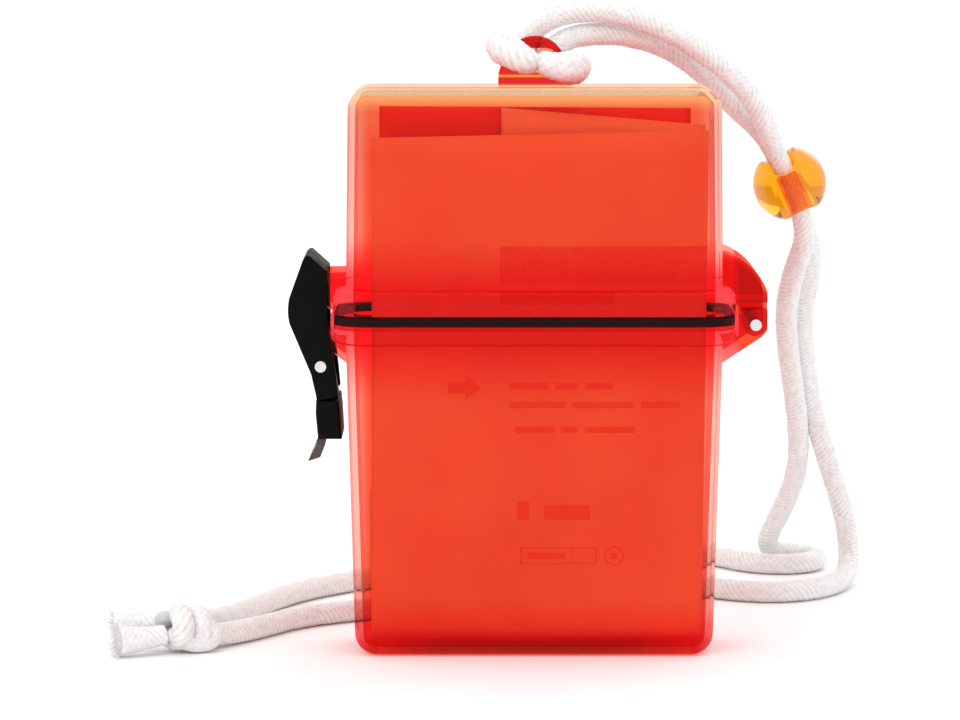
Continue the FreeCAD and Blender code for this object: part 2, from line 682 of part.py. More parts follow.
def make_knot():
    """Make the outer shapes of the knot and of the two frayed ends beyond it."""
    flat = FreeCAD.Rotation(Vector(0, 0, 1), 35)
    knot = make_block("knot", 9.4, 13.6, 10.2, 3.6, FreeCAD.Placement(Vector(-75.2, -5.6, 5.2), flat))
    knot.Label = "cord_knot"
    parts["cord_knot"] = knot
    tails = (
        ("cord_tail_upper", Vector(-79.4, -4.0, 5.6), Vector(-91.6, -2.6, 4.2)),
        ("cord_tail_lower", Vector(-78.6, -9.4, 3.2), Vector(-90.6, -14.2, 2.8)),
    )
    for name, start, end in tails:
        way = end - start
        cylinder = document.addObject("Part::Cylinder", f"{name}_core")
        bind(cylinder, "Radius", cell("cord_diameter") * 0.55)
        cylinder.Height = way.Length
        cylinder.Placement = FreeCAD.Placement(start, FreeCAD.Rotation(Vector(0, 0, 1), way))
        document.recompute()
        soft = document.addObject("Part::Fillet", name)
        soft.Label = name
        soft.Base = cylinder
        rims = [
            index + 1 for index, edge in enumerate(cylinder.Shape.Edges)
            if edge.Curve.TypeId == "Part::GeomCircle"
        ]
        soft.Edges = [(n, 1.2, 1.2) for n in rims]
        document.recompute()
        parts[name] = soft


# ---------------------------------------------------------------- whole kit

make_lower_shell()
make_seal_ring()
pin("hinge_pin", HINGE_AXIS, cell("hinge_pin_radius"), cell("ear_outer") + 0.2)
pin("latch_pivot_pin", PIVOT, cell("pivot_pin_radius"), cell("lug_outer"))
make_lid_shell()
make_latch_lever()
make_finger_tab()
make_latch_hook()
pin("hook_pin", HOOK_AXIS, cell("hook_pin_radius"), cell("grip_half") + 0.25)
make_contents()
make_strand("cord_front", FRONT_ROUTE)
make_strand("cord_back", BACK_ROUTE)
make_bead()
make_hitch()
make_knot()
document.recompute()

for item in document.Objects:
    if "Invalid" in item.State or "Error" in item.State:
        raise RuntimeError(f"{item.Name} is {item.State}")

os.makedirs("parts", exist_ok=True)
for name, part in parts.items():
    shape = part.Shape
    if shape.isNull() or not shape.isValid() or not shape.Solids:
        raise RuntimeError(f"{name} has no valid solid")
    shape.exportStep(f"parts/{name}.step")
    box = shape.BoundBox
    print(f"{name}: {len(shape.Solids)} solid, {shape.Volume:.0f} mm3, X {box.XMin:.1f} to {box.XMax:.1f}, "
          f"Y {box.YMin:.1f} to {box.YMax:.1f}, Z {box.ZMin:.1f} to {box.ZMax:.1f}")
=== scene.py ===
# %% [markdown]
# # A first aid kit in a clear red case
#
# The case is a small waterproof box: a deep lower shell, a lid with a hinge, a black rubber seal and
# a draw latch. A white braided lanyard is hitched through the lid's eyelet, runs through an amber
# bead and ends in a knot on the table. The hard parts come from the CAD model as they are, and this
# lesson gives them their finishes. It then makes the soft parts: the lanyard and what is in the case.

# %% Load the frame
import math
import bpy
import bmesh
from mathutils import Matrix, Vector, noise


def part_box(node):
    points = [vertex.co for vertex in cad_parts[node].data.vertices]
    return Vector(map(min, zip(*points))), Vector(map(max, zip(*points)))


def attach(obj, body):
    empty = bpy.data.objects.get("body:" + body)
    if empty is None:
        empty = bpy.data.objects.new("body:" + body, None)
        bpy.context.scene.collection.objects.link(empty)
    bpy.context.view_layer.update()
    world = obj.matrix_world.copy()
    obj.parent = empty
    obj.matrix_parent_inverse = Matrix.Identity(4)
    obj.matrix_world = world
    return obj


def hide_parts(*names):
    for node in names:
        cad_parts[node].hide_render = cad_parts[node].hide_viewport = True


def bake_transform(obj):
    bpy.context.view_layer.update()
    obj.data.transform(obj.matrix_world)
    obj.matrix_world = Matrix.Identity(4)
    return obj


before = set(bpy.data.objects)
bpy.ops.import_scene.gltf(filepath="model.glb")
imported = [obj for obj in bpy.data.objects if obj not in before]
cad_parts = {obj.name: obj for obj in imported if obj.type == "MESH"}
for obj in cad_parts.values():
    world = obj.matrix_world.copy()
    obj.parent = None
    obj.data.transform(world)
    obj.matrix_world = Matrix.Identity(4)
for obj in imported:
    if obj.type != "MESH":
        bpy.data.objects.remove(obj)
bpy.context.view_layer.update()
bpy.context.scene.view_settings.view_transform = "Standard"

# %% [markdown]
# ## Camera
#
# A long lens from about 0.9 m keeps the case's sides nearly straight, as in a catalogue picture. The
# camera looks down by 6.5 degrees, so that a little of the floor shows behind the case.

# %% Camera
camera_data = bpy.data.cameras.new("camera")
camera_data.lens = 160.7
camera_data.clip_end = 20
camera = bpy.data.objects.new("camera", camera_data)
camera.location = (-0.0115, -0.9092, 0.1656)
camera.rotation_euler = (math.radians(83.5), 0, 0)
bpy.context.collection.objects.link(camera)
bpy.context.scene.camera = camera
print("camera lens", camera_data.lens, "mm")

# %% [markdown]
# ## Lanyard route
#
# The lanyard is one length of cord, folded in half. Each half is a strand with a route of its own:
# out of the hitch, over the lid, down through the bead, to the floor behind the case and round to the
# knot. A NURBS spline of order 3 takes the route's points as its control points and stays smooth.
# Each strand goes straight through the bead between two points that lie on the bead's axis.

# %% Route points
bead_centre = Vector((0.056, 0.0239, 0.098))
bead_axis = Vector((0.401, 0.282, -0.871)).normalized()
bead_across = (Vector((0, 1, 0)) - bead_axis * bead_axis.y).normalized()


def through_bead(side):
    middle = bead_centre + bead_across * (side * 0.00245)
    return [middle - bead_axis * 0.0108, middle + bead_axis * 0.0108]


front_route = [
    (-0.0024, 0.0045, 0.127), (-0.0012, 0.0057, 0.1315), (0.004, 0.0066, 0.1352),
    (0.0125, 0.008, 0.1365), (0.0225, 0.0093, 0.1346), (0.033, 0.0112, 0.1295), (0.042, 0.0134, 0.123),
    (0.0484, 0.0158, 0.1158),
    *through_bead(-1),
    (0.057, 0.033, 0.076), (0.0568, 0.0445, 0.0665), (0.0587, 0.057, 0.055), (0.0618, 0.0705, 0.0405),
    (0.063, 0.0845, 0.0265), (0.0603, 0.095, 0.016), (0.0575, 0.1014, 0.0092),
    (0.0572, 0.1068, 0.0046), (0.0612, 0.1106, 0.0029), (0.0668, 0.1098, 0.00242),
    (0.0696, 0.105, 0.00242), (0.0682, 0.0994, 0.00242), (0.0634, 0.0956, 0.00242),
    (0.0572, 0.0952, 0.00242), (0.0516, 0.0988, 0.00242), (0.046, 0.1065, 0.00242),
    (0.038, 0.1145, 0.00242), (0.025, 0.1185, 0.00242), (0.007, 0.1155, 0.00242),
    (-0.014, 0.101, 0.00242), (-0.031, 0.0815, 0.00242), (-0.043, 0.069, 0.00242),
    (-0.052, 0.0585, 0.00242), (-0.0585, 0.0445, 0.00242), (-0.0645, 0.0285, 0.0025),
    (-0.0695, 0.015, 0.0032), (-0.0718, 0.006, 0.0046), (-0.0726, -0.0005, 0.0056),
]
back_route = [
    (0.0026, 0.0045, 0.1265), (0.0052, 0.0063, 0.1296), (0.011, 0.0094, 0.1312),
    (0.0195, 0.013, 0.131), (0.0285, 0.0164, 0.1284), (0.037, 0.0193, 0.1225), (0.043, 0.0213, 0.1158),
    *through_bead(1),
    (0.0622, 0.0375, 0.079), (0.061, 0.05, 0.068), (0.0623, 0.063, 0.0553), (0.0656, 0.074, 0.041),
    (0.0699, 0.081, 0.028), (0.0733, 0.0856, 0.018), (0.075, 0.0868, 0.01), (0.075, 0.083, 0.0044),
    (0.0733, 0.0756, 0.00242), (0.0698, 0.066, 0.00242), (0.0635, 0.0582, 0.00242),
    (0.0548, 0.055, 0.00242), (0.0455, 0.0585, 0.00242), (0.035, 0.0675, 0.00242),
    (0.018, 0.0735, 0.00242), (-0.003, 0.0665, 0.00242), (-0.02, 0.0505, 0.00242),
    (-0.032, 0.0365, 0.00242), (-0.0425, 0.0295, 0.00242), (-0.052, 0.0225, 0.00242),
    (-0.059, 0.0105, 0.00242), (-0.065, 0.0015, 0.0026), (-0.0693, -0.0033, 0.0032),
    (-0.0724, -0.0061, 0.0038),
]
print("route points:", len(front_route), len(back_route))

# %% [markdown]
# ## From a route to a braided cord
#
# The real cord is a soft hollow braid: sixteen bundles of yarn, half of them running round to the left
# and half to the right, each passing over one and under the next. A smooth tube with a bump would
# look flat at its edge, so the braid is made in the tube's own surface. The tube follows the points
# that Blender gives for the spline, and each point of a ring moves out or in with the bundle that lies
# on top there. A UV map records the place round the cord and along it, for the finish to follow.

# %% Spline and its points
def route_line(name, points, detail=24):
    curve = bpy.data.curves.new(name, "CURVE")
    curve.dimensions = "3D"
    curve.resolution_u = detail
    spline = curve.splines.new("NURBS")
    spline.points.add(len(points) - 1)
    for control, point in zip(spline.points, points):
        control.co = (*point, 1)
    spline.order_u = 3
    spline.use_endpoint_u = True
    holder = bpy.data.objects.new(name, curve)
    bpy.context.collection.objects.link(holder)
    bpy.context.view_layer.update()
    mesh = bpy.data.meshes.new_from_object(holder)
    line = [vertex.co.copy() for vertex in mesh.vertices]
    bpy.data.objects.remove(holder)
    bpy.data.meshes.remove(mesh)
    return line


def line_length(line):
    return sum((b - a).length for a, b in zip(line, line[1:]))


front_line = route_line("front_line", front_route)
back_line = route_line("back_line", back_route)
print("strands:", round(line_length(front_line), 4), round(line_length(back_line), 4), "m")


# %% Even steps along a line, each with a frame that doesn't twist
def even_steps(line, step):
    points = [line[0]]
    spare = 0.0
    for a, b in zip(line, line[1:]):
        run = (b - a).length
        along = step - spare
        while along <= run:
            points.append(a.lerp(b, along / run))
            along += step
        spare = (spare + run) % step
    return points


def frames_along(points):
    frames = []
    way = (points[1] - points[0]).normalized()
    side = way.orthogonal().normalized()
    for index, point in enumerate(points):
        after = points[min(index + 1, len(points) - 1)]
        before = points[max(index - 1, 0)]
        new_way = (after - before).normalized()
        side = (way.rotation_difference(new_way) @ side)
        side = (side - new_way * side.dot(new_way)).normalized()
        way = new_way
        frames.append((point, side, way.cross(side)))
    return frames


# %% Braided tube
cord_radius = 0.0024
bundles = 8
braid_pitch = 0.0105


def braid_height(turn, along):
    right = bundles * turn + bundles * along / braid_pitch
    left = bundles * turn - bundles * along / braid_pitch
    over_right = (math.floor(right) + math.floor(left)) % 2 == 0
    across = (right if over_right else left) % 1.0
    under = (left if over_right else right) % 1.0
    return math.sin(math.pi * across) ** 0.6 * (0.75 + 0.25 * math.sin(math.pi * under))


def braided_tube(name, line, width=lambda share: 1.0, sides=32, step=0.00045, seed=0):
    frames = frames_along(even_steps(line, step))
    count = len(frames)
    vertices = []
    heights = []
    for ring, (point, side, up) in enumerate(frames):
        along = ring * step
        girth = cord_radius * width(ring / (count - 1))
        for spoke in range(sides):
            turn = spoke / sides
            angle = math.tau * turn
            out = side * math.cos(angle) + up * math.sin(angle)
            soft = noise.noise((point + out * girth) * 420 + Vector((seed, 0, 0))) * 0.05
            fuzz = noise.noise((point + out * girth) * 2600) * 0.025
            heights.append(braid_height(turn, along))
            radius = girth * (0.93 + 0.11 * heights[-1] + soft + fuzz)
            vertices.append(point + out * radius)
    faces = []
    for ring in range(count - 1):
        for spoke in range(sides):
            after = (spoke + 1) % sides
            low, high = ring * sides, (ring + 1) * sides
            faces.append((low + spoke, low + after, high + after, high + spoke))
    faces.append(tuple(reversed(range(sides))))
    faces.append(tuple(range((count - 1) * sides, count * sides)))
    mesh = bpy.data.meshes.new(name)
    mesh.from_pydata(vertices, [], faces)
    layer = mesh.uv_layers.new(name="cord")
    for face in mesh.polygons:
        spokes = [vertex % sides for vertex in face.vertices]
        wraps = len(face.vertices) == 4 and max(spokes) - min(spokes) > 1
        for loop, vertex, spoke in zip(face.loop_indices, face.vertices, spokes):
            turn = 1.0 if wraps and spoke == 0 else spoke / sides
            layer.data[loop].uv = (turn, (vertex // sides) * step / braid_pitch)
    # The braid height is kept on the mesh, for the finish's painted shade in the grooves.
    braid = mesh.attributes.new("braid", "FLOAT", "POINT")
    braid.data.foreach_set("value", heights)
    mesh.update()
    tube = bpy.data.objects.new(name, mesh)
    bpy.context.collection.objects.link(tube)
    for face in mesh.polygons:
        face.use_smooth = True
    return tube


def squeezed_by_bead(line, step=0.00045):
    points = even_steps(line, step)
    nearest = min(range(len(points)), key=lambda index: (points[index] - bead_centre).length)

    def width(share):
        away = (share * (len(points) - 1) - nearest) * step
        return 1.0 - 0.15 * math.exp(-(away / 0.0145) ** 4)
    return width


lanyard_front = braided_tube("lanyard_front", front_line, squeezed_by_bead(front_line))
lanyard_back = braided_tube("lanyard_back", back_line, squeezed_by_bead(back_line), seed=7)
print("braid faces:", len(lanyard_front.data.polygons), len(lanyard_back.data.polygons))

# %% [markdown]
# ## The hitch, the knot and the frayed ends
#
# The folded middle of the lanyard goes through the eyelet and back over its own strands. From the
# front that shows as two soft lobes, one round each side of the tab, joined behind it. At the other
# end both strands turn round themselves into a knot, and their cut ends are frayed. Each is a short
# route of its own, pulled a little thinner where it is squeezed.

# %% Hitch
hitch_route = [
    (-0.0023, 0.0058, 0.1286), (-0.0022, 0.003, 0.1264), (-0.0018, 0.0, 0.126),
    (-0.0012, -0.0036, 0.1256), (-0.0022, -0.0054, 0.1262), (-0.0048, -0.005, 0.1277),
    (-0.0066, -0.0026, 0.1288), (-0.0072, 0.001, 0.1293), (-0.0062, 0.005, 0.1292),
    (-0.0034, 0.008, 0.1284), (0.0004, 0.0088, 0.1274), (0.0044, 0.0082, 0.1264),
    (0.0074, 0.0056, 0.1252), (0.0086, 0.0018, 0.1246), (0.0084, -0.0022, 0.1244),
    (0.0068, -0.005, 0.1246), (0.0042, -0.0056, 0.1249), (0.0022, -0.0038, 0.1254),
    (0.0024, 0.0, 0.126), (0.0025, 0.0032, 0.1262), (0.0034, 0.0056, 0.1276),
]


def hitch_width(share):
    squeeze = math.exp(-((share - 0.1) / 0.05) ** 2) + math.exp(-((share - 0.9) / 0.05) ** 2)
    swell = math.exp(-((share - 0.26) / 0.09) ** 2) + math.exp(-((share - 0.74) / 0.09) ** 2)
    return 1.04 - 0.14 * squeeze + 0.42 * swell


hitch = braided_tube("hitch", route_line("hitch_line", hitch_route), hitch_width, seed=3)
print("hitch length:", round(line_length(route_line("hitch_line", hitch_route)), 4))

# %% Knot
knot_middle = Vector((-0.0752, -0.0056, 0.0056))
knot_turn = Matrix.Rotation(math.radians(35), 3, "Z")


def knot_point(along, across, height):
    return knot_middle + knot_turn @ Vector((along, across, height))


knot_route = [
    knot_point(0.0052, 0.0026, 0.0006), knot_point(0.0034, 0.0012, 0.0012),
    knot_point(0.0026, -0.0014, 0.0024), knot_point(0.0026, -0.0042, 0.0012),
    knot_point(0.0024, -0.0042, -0.0018), knot_point(0.0022, -0.0006, -0.0028),
    knot_point(0.002, 0.0038, -0.002), knot_point(0.0012, 0.0044, 0.001),
    knot_point(-0.0004, 0.0012, 0.0027), knot_point(-0.0018, -0.003, 0.0026),
    knot_point(-0.0022, -0.0046, 0.0002), knot_point(-0.0022, -0.0028, -0.0026),
    knot_point(-0.002, 0.0022, -0.0027), knot_point(-0.0024, 0.0044, -0.0002),
    knot_point(-0.003, 0.002, 0.0022), knot_point(-0.0042, -0.0002, 0.0012),
]
knot = braided_tube("knot", route_line("knot_line", knot_route), lambda share: 0.98, seed=11)
knot_fold_route = [
    knot_point(0.0038, -0.0042, 0.0006), knot_point(0.0052, -0.0048, -0.0014),
    knot_point(0.0044, -0.0048, -0.0034), knot_point(0.001, -0.0042, -0.0037),
    knot_point(-0.0026, -0.0026, -0.0026), knot_point(-0.0042, -0.0014, -0.0004),
]
knot_fold = braided_tube("knot_fold", route_line("fold_line", knot_fold_route), lambda share: 0.74, seed=13)
print("knot:", [round(value, 4) for value in knot.dimensions])


# %% Frayed ends
def tail_width(share):
    return 0.92 + 0.42 * share ** 1.6


def make_fibre(name):
    bpy.ops.object.select_all(action="DESELECT")
    bpy.ops.mesh.primitive_cone_add(vertices=4, radius1=0.00016, radius2=0.00004, depth=0.0036)
    fibre = bpy.context.object
    fibre.name = name
    bpy.ops.object.mode_set(mode="EDIT")
    bpy.ops.mesh.select_all(action="SELECT")
    bpy.ops.mesh.subdivide(number_cuts=3)
    bpy.ops.transform.translate(value=(0, 0, 0.0014))
    bpy.ops.object.mode_set(mode="OBJECT")
    for vertex in fibre.data.vertices:
        vertex.co.x += 0.0006 * (vertex.co.z / 0.0032) ** 2
    return fibre


fibre = make_fibre("fibre")


def frayed_tail(name, route, seed):
    line = route_line(f"{name}_line", route)
    tail = braided_tube(name, line, tail_width, seed=seed)
    end, before = line[-1], line[-8]
    way = (end - before).normalized()
    facing = way.to_track_quat("Z", "X").to_matrix().to_4x4()
    work = bmesh.new()
    work.from_mesh(tail.data)
    for index in range(70):
        angle = index * 2.39996
        out = math.sqrt((index + 0.5) / 70) * cord_radius * 1.12
        lean = Matrix.Rotation(0.55 * out / cord_radius, 4, "Y")
        spin = Matrix.Rotation(angle, 4, "Z")
        size = Matrix.Diagonal((1, 1, 0.55 + 0.5 * abs(noise.noise(Vector((index, seed, 0.5)))), 1))
        place = Matrix.Translation(end) @ facing @ spin @ Matrix.Translation((out, 0, -0.0006)) @ lean @ size
        copy = fibre.data.copy()
        copy.transform(place)
        work.from_mesh(copy)
        bpy.data.meshes.remove(copy)
    work.to_mesh(tail.data)
    work.free()
    for face in tail.data.polygons:
        face.use_smooth = True
    return tail


tail_upper_route = [
    (-0.0788, -0.0044, 0.0058), (-0.0822, -0.0036, 0.0058), (-0.0856, -0.0032, 0.0052),
    (-0.0894, -0.0028, 0.0046),
]
tail_lower_route = [
    (-0.0786, -0.0094, 0.0042), (-0.0816, -0.0106, 0.0038), (-0.085, -0.012, 0.0036),
    (-0.0882, -0.0132, 0.0036),
]
tail_upper = frayed_tail("tail_upper", tail_upper_route, 17)
tail_lower = frayed_tail("tail_lower", tail_lower_route, 23)
bpy.data.objects.remove(fibre)
print("tails:", len(tail_upper.data.polygons), len(tail_lower.data.polygons))

# %% [markdown]
# ## Finishes
#
# Each finish is a small node tree on a Principled shader. Colour, roughness and bump come from noise
# on the Object coordinates, in metres, so a grain has its real size. One helper makes the material
# and others add a node, so that each cell below shows only what is special about its finish.

# %% Helpers for finishes
def new_finish(name, **sockets):
    finish = bpy.data.materials.new(name)
    finish.use_nodes = True
    shader = finish.node_tree.nodes["Principled BSDF"]
    for socket, value in sockets.items():
        shader.inputs[socket.replace("_", " ")].default_value = value
    return finish, finish.node_tree, shader


def add(tree, kind, **settings):
    node = tree.nodes.new(kind)
    for name, value in settings.items():
        if name in node.inputs.keys():
            node.inputs[name].default_value = value
        else:
            setattr(node, name, value)
    return node


def grain(tree, scale, detail=2.0):
    coordinates = add(tree, "ShaderNodeTexCoord")
    texture = add(tree, "ShaderNodeTexNoise", Scale=scale, Detail=detail)
    tree.links.new(coordinates.outputs["Object"], texture.inputs["Vector"])
    return texture.outputs["Fac"]


def spread(tree, value, low, high, start=0.3, end=0.7):
    ramp = add(tree, "ShaderNodeMapRange")
    ramp.inputs["From Min"].default_value = start
    ramp.inputs["From Max"].default_value = end
    ramp.inputs["To Min"].default_value = low
    ramp.inputs["To Max"].default_value = high
    tree.links.new(value, ramp.inputs["Value"])
    return ramp.outputs["Result"]


def blend_colours(tree, share, first, second):
    mix = add(tree, "ShaderNodeMix", data_type="RGBA")
    mix.inputs[6].default_value = (*first, 1)
    mix.inputs[7].default_value = (*second, 1)
    tree.links.new(share, mix.inputs[0])
    return mix.outputs[2]


def bump(tree, shader, height, strength, distance):
    node = add(tree, "ShaderNodeBump", Strength=strength, Distance=distance)
    tree.links.new(height, node.inputs["Height"])
    tree.links.new(node.outputs["Normal"], shader.inputs["Normal"])
    return node


def within(tree, position, middle, half):
    compare = add(tree, "ShaderNodeMath", operation="COMPARE")
    compare.inputs[1].default_value = middle
    compare.inputs[2].default_value = half
    tree.links.new(position, compare.inputs[0])
    return compare.outputs[0]


def combine(tree, operation, first, second):
    node = add(tree, "ShaderNodeMath", operation=operation)
    for socket, value in zip(node.inputs, (first, second)):
        if isinstance(value, (int, float)):
            socket.default_value = value
        else:
            tree.links.new(value, socket)
    return node.outputs[0]


print("helpers ready")

# %% [markdown]
# ### Clear coloured plastic
#
# The case and the bead are clear plastic that colours the light. Glass is used for what is seen.
# Lamps should simply shine in through the wall, tinted, or the paper inside would be lit only by
# chance rays and look grainy, so shadow and diffuse rays meet a tinted Transparent instead. A wall
# has two faces, and each takes the root of its colour. The case has an IOR of almost 1, so it hardly
# bends light: a real value caught light inside the thin walls and drew black lines there. A coat
# gives the gloss back. The bead is thick enough for a higher value.
#
# The colour of clear plastic depends on how much of it the light crosses. Here that is laid on by
# place, on the Object coordinates: deep at the flanges, the lugs and the tab, and darker towards the
# bottom of the case. Light is painted by place as well: the sides are paler with painted light, where
# the bright surround shines through, and so is the lid towards its top edge, where light comes in
# from above. The tab has one thin orange line of painted highlight, where the real one catches the
# light. Layer Weight deepens the tint where a wall is seen edge on: partly for the longer path
# through the wall, partly as painted shade along the edges.

# %% Clear plastics
def clear_plastic(name, deep, pale, zones=None, ior=1.004, coat=0.18, waviness=0.04):
    finish, tree, shader = new_finish(name, IOR=ior, Transmission_Weight=1.0,
                                      Coat_Weight=coat, Coat_Roughness=0.03)
    colour = blend_colours(tree, spread(tree, grain(tree, 55, 1.0), 0, 1), deep, pale)
    for tint, share in (zones(tree) if zones else ()):
        colour = tinted(tree, colour, share, tint)
    tree.links.new(colour, shader.inputs["Base Color"])
    tree.links.new(spread(tree, grain(tree, 700, 3.0), 0.0, 0.05), shader.inputs["Roughness"])
    bump(tree, shader, grain(tree, 130, 1.0), waviness, 0.0006)
    through = add(tree, "ShaderNodeBsdfTransparent")
    middle = [math.sqrt((a + b) / 2) for a, b in zip(deep, pale)]
    through.inputs["Color"].default_value = (*middle, 1)
    rays = add(tree, "ShaderNodeLightPath")
    either = combine(tree, "MAXIMUM", rays.outputs["Is Shadow Ray"], rays.outputs["Is Diffuse Ray"])
    mix = add(tree, "ShaderNodeMixShader")
    tree.links.new(either, mix.inputs[0])
    tree.links.new(shader.outputs[0], mix.inputs[1])
    tree.links.new(through.outputs[0], mix.inputs[2])
    tree.links.new(mix.outputs[0], tree.nodes["Material Output"].inputs["Surface"])
    return finish


def tinted(tree, colour, share, tint):
    mix = add(tree, "ShaderNodeMix", data_type="RGBA")
    mix.inputs[7].default_value = (*tint, 1)
    tree.links.new(share, mix.inputs[0])
    tree.links.new(colour, mix.inputs[6])
    return mix.outputs[2]


def case_zones(tree):
    coordinates = add(tree, "ShaderNodeTexCoord")
    split = add(tree, "ShaderNodeSeparateXYZ")
    tree.links.new(coordinates.outputs["Object"], split.inputs[0])
    side = combine(tree, "ABSOLUTE", split.outputs["X"], 0)
    height = split.outputs["Z"]
    # Paler at the sides: painted light, where the bright surround shines through the case.
    painted_light_sides = spread(tree, side, 0, 1, 0.0352, 0.037)
    # The lid grows paler towards its top edge, and the top edge is paler still: painted light coming in from
    # above.
    painted_light_to_top = spread(tree, height, 0, 0.35, 0.106, 0.113)
    painted_light_top_edge = spread(tree, height, 0, 1, 0.1155, 0.1176)
    rims = combine(tree, "MULTIPLY", spread(tree, height, 1, 0, 0.0795, 0.0885),
                   spread(tree, height, 0, 1, 0.054, 0.067))
    # Darker towards the bottom of the case.
    darker_to_bottom = spread(tree, height, 0.95, 0, 0.003, 0.013)
    # One deep tint for the thicker rims and for the darker bottom.
    thick = combine(tree, "MAXIMUM", rims, darker_to_bottom)
    lugs = combine(tree, "GREATER_THAN", side, 0.0432)
    tab = spread(tree, height, 0, 1, 0.1204, 0.121)
    # A thin orange line on the tab: a painted highlight.
    painted_highlight_line = combine(tree, "MULTIPLY", within(tree, height, 0.1226, 0.0003), 0.8)
    # Deeper tint where a wall is seen edge on: partly the longer path through the wall, partly painted shade
    # along the edges; less of it near the lid's top.
    facing = add(tree, "ShaderNodeLayerWeight", Blend=0.5)
    edge_tint_and_painted_shade = combine(tree, "MULTIPLY", spread(tree, facing.outputs["Facing"], 0, 0.95, 0.66, 0.95),
                      spread(tree, height, 1, 0.1, 0.1135, 0.117))
    # Tints with their masks: the paler sides, the paler top and the tab's orange line are painted light, and
    # the edge tint is partly painted shade.
    return (((0.93, 0.42, 0.34), painted_light_sides), ((0.95, 0.5, 0.34), painted_light_to_top), ((1.0, 0.62, 0.36), painted_light_top_edge),
            ((0.91, 0.05, 0.06), thick),
            ((0.82, 0.065, 0.02), lugs), ((0.76, 0.02, 0.02), tab), ((1.0, 0.4, 0.03), painted_highlight_line),
            ((0.78, 0.07, 0.09), edge_tint_and_painted_shade))


red_clear = clear_plastic("red_clear", (0.915, 0.22, 0.13), (0.93, 0.28, 0.17), case_zones)
amber_clear = clear_plastic("amber_clear", (1.0, 0.31, 0.008), (1.0, 0.38, 0.014),
                            ior=1.25, coat=0.4, waviness=0.1)
print("clear plastics:", red_clear.name, amber_clear.name)

# %% [markdown]
# ### Latch, seal and pins
#
# The latch is black plastic with a fine spark-eroded grain, the seal is matt rubber, and the pins are
# turned steel with a fine grain. The finger tab is thin dark plastic that lets a little light through.

# %% Dark plastics, rubber and steel
black_grain, tree, shader = new_finish("black_grain", IOR=1.5, Specular_IOR_Level=0.07)
tree.links.new(blend_colours(tree, grain(tree, 900, 3.0), (0.0015, 0.0015, 0.0014), (0.004, 0.004, 0.0036)),
               shader.inputs["Base Color"])
tree.links.new(spread(tree, grain(tree, 300, 3.0), 0.42, 0.6), shader.inputs["Roughness"])
bump(tree, shader, grain(tree, 5200, 2.0), 0.35, 0.00004)

black_rubber, tree, shader = new_finish("black_rubber", IOR=1.5, Specular_IOR_Level=0.08)
tree.links.new(blend_colours(tree, grain(tree, 400), (0.002, 0.002, 0.002), (0.006, 0.005, 0.005)),
               shader.inputs["Base Color"])
tree.links.new(spread(tree, grain(tree, 500, 3.0), 0.4, 0.62), shader.inputs["Roughness"])
bump(tree, shader, grain(tree, 2600, 3.0), 0.3, 0.00006)

turned_steel, tree, shader = new_finish("turned_steel", Metallic=1.0)
tree.links.new(blend_colours(tree, grain(tree, 700), (0.62, 0.62, 0.6), (0.86, 0.86, 0.84)),
               shader.inputs["Base Color"])
tree.links.new(spread(tree, grain(tree, 1500, 3.0), 0.22, 0.42), shader.inputs["Roughness"])
bump(tree, shader, grain(tree, 3800, 2.0), 0.25, 0.00003)

smoke_clear, tree, shader = new_finish("smoke_clear", IOR=1.49, Transmission_Weight=0.35)
tree.links.new(blend_colours(tree, grain(tree, 300), (0.05, 0.03, 0.025), (0.13, 0.085, 0.07)),
               shader.inputs["Base Color"])
tree.links.new(spread(tree, grain(tree, 1200, 3.0), 0.12, 0.3), shader.inputs["Roughness"])
bump(tree, shader, grain(tree, 2400, 2.0), 0.2, 0.00004)
print("dark finishes ready")

# %% [markdown]
# ### Cord
#
# The braid's shape is already in the mesh. The finish adds the yarn inside each bundle as fine lines
# on the cord's UV map, a soft sheen from loose fibres, and a slight change of white along the length.
# It also darkens the grooves between the bundles with painted shade, read from the braid height that
# the mesh stores.

# %% Braided white
white_braid, tree, shader = new_finish("white_braid", Sheen_Weight=0.35, Sheen_Roughness=0.5, IOR=1.4)
coordinates = add(tree, "ShaderNodeTexCoord")
placing = add(tree, "ShaderNodeMapping")
placing.inputs["Scale"].default_value = (bundles, bundles, 1)
tree.links.new(coordinates.outputs["UV"], placing.inputs["Vector"])
yarn_heights = []
for lean in (45, -45):
    turned = add(tree, "ShaderNodeMapping")
    turned.inputs["Rotation"].default_value = (0, 0, math.radians(lean))
    tree.links.new(placing.outputs[0], turned.inputs["Vector"])
    yarn = add(tree, "ShaderNodeTexWave", Scale=1.1, Distortion=1.2)
    yarn.inputs["Detail"].default_value = 1.0
    tree.links.new(turned.outputs[0], yarn.inputs["Vector"])
    yarn_heights.append(yarn.outputs["Fac"])
crossed = add(tree, "ShaderNodeMath", operation="MULTIPLY")
tree.links.new(yarn_heights[0], crossed.inputs[0])
tree.links.new(yarn_heights[1], crossed.inputs[1])
fluff = add(tree, "ShaderNodeMath", operation="ADD")
tree.links.new(crossed.outputs[0], fluff.inputs[0])
tree.links.new(grain(tree, 3500, 3.0), fluff.inputs[1])
bump(tree, shader, fluff.outputs[0], 0.55, 0.00012)
# Painted shade: the stored braid height darkens the grooves between the bundles, mixed with a random change
# of white.
braid_height_for_shade = add(tree, "ShaderNodeAttribute", attribute_name="braid")
depth = combine(tree, "ADD", spread(tree, braid_height_for_shade.outputs["Fac"], 0, 1, 0.15, 0.9),
                spread(tree, grain(tree, 500, 3.0), -0.25, 0.25))
tree.links.new(blend_colours(tree, depth, (0.7, 0.69, 0.68), (0.92, 0.915, 0.91)),
               shader.inputs["Base Color"])
tree.links.new(spread(tree, grain(tree, 1800, 2.0), 0.75, 0.95), shader.inputs["Roughness"])
print("cord finish ready")

